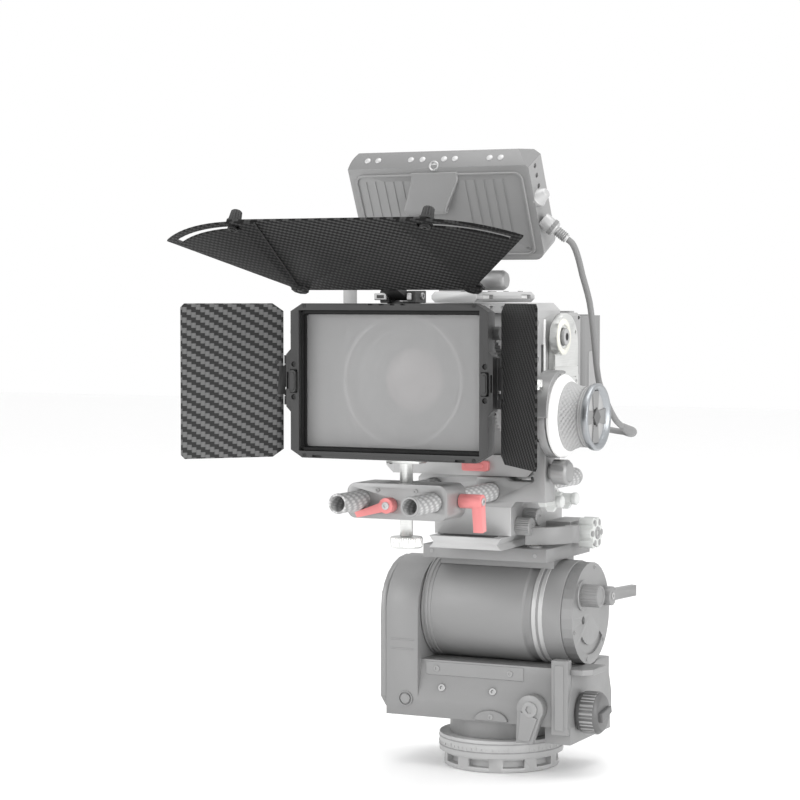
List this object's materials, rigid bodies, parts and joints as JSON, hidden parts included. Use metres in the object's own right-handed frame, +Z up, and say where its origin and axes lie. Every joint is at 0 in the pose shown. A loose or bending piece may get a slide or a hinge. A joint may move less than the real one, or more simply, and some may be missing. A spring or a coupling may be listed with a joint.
{
  "type": "cinema camera rig",
  "caption": "Camera in a cage on carbon rods with a flagged matte box, follow focus and tilting monitor, on a fluid head that pans and tilts.",
  "frame": {"origin": "centre of the flat underside of the fluid head's base", "axes": "+Z up, the lens looks along -Y, +X towards the follow focus"},
  "size_m": [0.2931, 0.4093, 0.5049],
  "materials": {
    "head_metal": "satin grey paint",
    "head_cover": "fine blasted grey",
    "rig_metal": "grey anodised",
    "pale_metal": "pale anodised",
    "silver_metal": "satin silver",
    "red_metal": "red anodised",
    "carbon_tube": "twill carbon fibre",
    "carbon_sheet": "twill carbon fibre",
    "matte_plastic": "fine matte black",
    "black_rubber": "ribbed",
    "white_plastic": "satin",
    "grey_plastic": "knurled",
    "camera_plastic": "fine texture",
    "battery_case": "fine texture",
    "monitor_case": "fine texture",
    "handle_grip": "ribbed grip",
    "lens_metal": "satin black",
    "lens_glass": "coated",
    "filter_glass": "grey filter",
    "cable_rubber": "satin jacket"
  },
  "bodies": {
    "tripod_base": {"head_base": "head_metal"},
    "pan_head": {"head_casting": "head_metal", "head_side_cover": "head_cover"},
    "pan_drag": {"pan_drag_knob": "rig_metal"},
    "pan_lock": {"pan_lock_lever": "head_cover"},
    "tilt_head": {"tilt_drum": "head_metal", "tilt_end_cap": "head_cover", "head_platform": "head_metal"},
    "tilt_drag": {"tilt_drag_knob": "head_metal"},
    "tilt_lock": {"tilt_lock_lever": "head_cover"},
    "plate_lock": {"plate_lock_knob": "white_plastic"},
    "plate_release": {"plate_release_lever": "head_metal"},
    "camera_rig": {"slide_plate": "pale_metal", "rod_base": "rig_metal", "rod_left": "carbon_tube", "rod_right": "carbon_tube", "lens_support_bracket": "rig_metal", "camera_body": "camera_plastic", "camera_cage": "rig_metal", "top_rail": "pale_metal", "side_handle": "handle_grip", "side_plate": "silver_metal", "battery_plate": "camera_plastic", "lens_barrel": "lens_metal", "front_element": "lens_glass", "ff_bracket": "rig_metal", "ff_gearbox": "rig_metal", "matte_frame": "matte_plastic", "matte_body": "matte_plastic", "clamp_ring": "matte_plastic", "filter_glass": "filter_glass", "flag_bracket": "matte_plastic", "monitor_mount": "rig_metal", "monitor_cable": "cable_rubber"},
    "quick_front": {"quick_lever_front": "silver_metal"},
    "quick_rear": {"quick_lever_rear": "silver_metal"},
    "lens_support_post": {"support_post": "silver_metal"},
    "height_disc": {"support_disc": "silver_metal"},
    "front_lock": {"front_lock_lever": "red_metal"},
    "side_lock": {"side_lock_lever": "red_metal"},
    "record_key": {"record_button": "head_cover"},
    "battery_pack": {"battery": "battery_case"},
    "focus_wheel": {"ff_marking_disc": "white_plastic", "ff_grip": "grey_plastic"},
    "focus_gear": {"ff_drive_gear": "grey_plastic"},
    "lens_focus": {"focus_ring": "lens_metal"},
    "focus_clamp": {"ff_clamp_knob": "rig_metal"},
    "release_key_left": {"release_left": "matte_plastic"},
    "release_key_right": {"release_right": "matte_plastic"},
    "top_flag": {"top_flag": "carbon_sheet"},
    "wing_left": {"wing_left": "carbon_sheet"},
    "wing_right": {"wing_right": "carbon_sheet"},
    "wing_clamp_left": {"wing_knob_left": "black_rubber"},
    "wing_clamp_right": {"wing_knob_right": "black_rubber"},
    "side_flag_left": {"side_flag_left": "carbon_sheet"},
    "side_flag_right": {"side_flag_right": "carbon_sheet"},
    "monitor": {"monitor_arm": "rig_metal", "monitor_housing": "monitor_case", "monitor_plug": "cable_rubber"},
    "monitor_clamp": {"monitor_knob": "rig_metal"}
  },
  "joints": [
    {"name": "pan", "type": "hinge", "parent": "tripod_base", "child": "pan_head", "pos_m": [0, 0, 0.027], "axis": [0, 0, 1], "continuous": true},
    {"name": "pan_drag_turn", "type": "hinge", "parent": "pan_head", "child": "pan_drag", "pos_m": [0.09, -0.022, 0.052], "axis": [1, 0, 0], "range_deg": [-135, 135]},
    {"name": "pan_lock_turn", "type": "hinge", "parent": "pan_head", "child": "pan_lock", "pos_m": [0.05, -0.054, 0.057], "axis": [0, 1, 0], "range_deg": [-25, 60]},
    {"name": "tilt", "type": "hinge", "parent": "pan_head", "child": "tilt_head", "pos_m": [0, 0, 0.13], "axis": [1, 0, 0], "range_deg": [-60, 45]},
    {"name": "tilt_drag_turn", "type": "hinge", "parent": "tilt_head", "child": "tilt_drag", "pos_m": [0.09, -0.02, 0.147], "axis": [1, 0, 0], "range_deg": [-135, 135]},
    {"name": "tilt_lock_turn", "type": "hinge", "parent": "tilt_head", "child": "tilt_lock", "pos_m": [0.085, 0.024, 0.142], "axis": [1, 0, 0], "range_deg": [-40, 40]},
    {"name": "plate_lock_turn", "type": "hinge", "parent": "tilt_head", "child": "plate_lock", "pos_m": [0.072, 0.014, 0.195], "axis": [1, 0, 0], "continuous": true},
    {"name": "plate_release_swing", "type": "hinge", "parent": "tilt_head", "child": "plate_release", "pos_m": [0.068, -0.012, 0.196], "axis": [0, 0, 1], "range_deg": [0, 55]},
    {"name": "plate_slide", "type": "slide", "parent": "tilt_head", "child": "camera_rig", "axis": [0, 1, 0], "range_m": [-0.03, 0.03]},
    {"name": "quick_lever_front_turn", "type": "hinge", "parent": "camera_rig", "child": "quick_front", "pos_m": [0.05, -0.054, 0.231], "axis": [1, 0, 0], "range_deg": [-20, 45]},
    {"name": "quick_lever_rear_turn", "type": "hinge", "parent": "camera_rig", "child": "quick_rear", "pos_m": [0.05, -0.022, 0.231], "axis": [1, 0, 0], "range_deg": [-20, 45]},
    {"name": "support_height", "type": "slide", "parent": "camera_rig", "child": "lens_support_post", "axis": [0, 0, 1], "range_m": [-0.014, 0]},
    {"name": "height_disc_turn", "type": "hinge", "parent": "lens_support_post", "child": "height_disc", "pos_m": [0, -0.183, 0.202], "axis": [0, 0, 1], "continuous": true},
    {"name": "front_lock_turn", "type": "hinge", "parent": "camera_rig", "child": "front_lock", "pos_m": [-0.005, -0.204, 0.232], "axis": [0, 1, 0], "range_deg": [-75, 0]},
    {"name": "side_lock_turn", "type": "hinge", "parent": "camera_rig", "child": "side_lock", "pos_m": [0.052, -0.176, 0.235], "axis": [1, 0, 0], "range_deg": [-60, 60]},
    {"name": "record_press", "type": "slide", "parent": "camera_rig", "child": "record_key", "axis": [-1, 0, 0], "range_m": [0, 0.0012], "stiffness_N_per_m": 400},
    {"name": "battery_lift", "type": "slide", "parent": "camera_rig", "child": "battery_pack", "axis": [0, 0, 1], "range_m": [0, 0.03]},
    {"name": "focus_wheel_turn", "type": "hinge", "parent": "camera_rig", "child": "focus_wheel", "pos_m": [0.095, -0.08, 0.296], "axis": [1, 0, 0], "range_deg": [-180, 180]},
    {"name": "focus_gear_turn", "type": "hinge", "parent": "camera_rig", "child": "focus_gear", "pos_m": [0.057, -0.1, 0.296], "axis": [0, 1, 0], "range_deg": [-180, 180]},
    {"name": "focus_ring_turn", "type": "hinge", "parent": "camera_rig", "child": "lens_focus", "pos_m": [0, -0.1, 0.326], "axis": [0, 1, 0], "range_deg": [-67, 67]},
    {"name": "focus_clamp_turn", "type": "hinge", "parent": "camera_rig", "child": "focus_clamp", "pos_m": [0.085, -0.082, 0.252], "axis": [1, 0, 0], "continuous": true},
    {"name": "release_left_press", "type": "slide", "parent": "camera_rig", "child": "release_key_left", "axis": [0, 1, 0], "range_m": [0, 0.0015], "stiffness_N_per_m": 300},
    {"name": "release_right_press", "type": "slide", "parent": "camera_rig", "child": "release_key_right", "axis": [0, 1, 0], "range_m": [0, 0.0015], "stiffness_N_per_m": 300},
    {"name": "top_flag_tilt", "type": "hinge", "parent": "camera_rig", "child": "top_flag", "pos_m": [0, -0.186, 0.3905], "axis": [-1, 0, 0], "range_deg": [-11, 64]},
    {"name": "wing_left_fold", "type": "hinge", "parent": "top_flag", "child": "wing_left", "pos_m": [-0.072, -0.22009, 0.39566], "axis": [0, 0.4384, 0.8988], "range_deg": [0, 30]},
    {"name": "wing_right_fold", "type": "hinge", "parent": "top_flag", "child": "wing_right", "pos_m": [0.072, -0.22009, 0.39566], "axis": [0, 0.4384, 0.8988], "range_deg": [-30, 0]},
    {"name": "wing_clamp_left_turn", "type": "hinge", "parent": "top_flag", "child": "wing_clamp_left", "pos_m": [-0.07736, -0.30757, 0.44979], "axis": [0, 0.4384, 0.8988], "continuous": true},
    {"name": "wing_clamp_right_turn", "type": "hinge", "parent": "top_flag", "child": "wing_clamp_right", "pos_m": [0.07736, -0.30757, 0.44979], "axis": [0, 0.4384, 0.8988], "continuous": true},
    {"name": "side_flag_left_swing", "type": "hinge", "parent": "camera_rig", "child": "side_flag_left", "pos_m": [-0.09, -0.207, 0.326], "axis": [0, 0, 1], "range_deg": [-65, 44]},
    {"name": "side_flag_right_swing", "type": "hinge", "parent": "camera_rig", "child": "side_flag_right", "pos_m": [0.09, -0.207, 0.326], "axis": [0, 0, 1], "range_deg": [-44, 65]},
    {"name": "monitor_tilt", "type": "hinge", "parent": "camera_rig", "child": "monitor", "pos_m": [0, -0.083, 0.403], "axis": [1, 0, 0], "range_deg": [-45, 50]},
    {"name": "monitor_clamp_turn", "type": "hinge", "parent": "camera_rig", "child": "monitor_clamp", "pos_m": [0.027, -0.083, 0.403], "axis": [1, 0, 0], "continuous": true}
  ],
  "couplings": [
    {"joint": "focus_gear_turn", "follows": "focus_wheel_turn", "ratio": 1},
    {"joint": "focus_ring_turn", "follows": "focus_wheel_turn", "ratio": -0.37021}
  ]
}
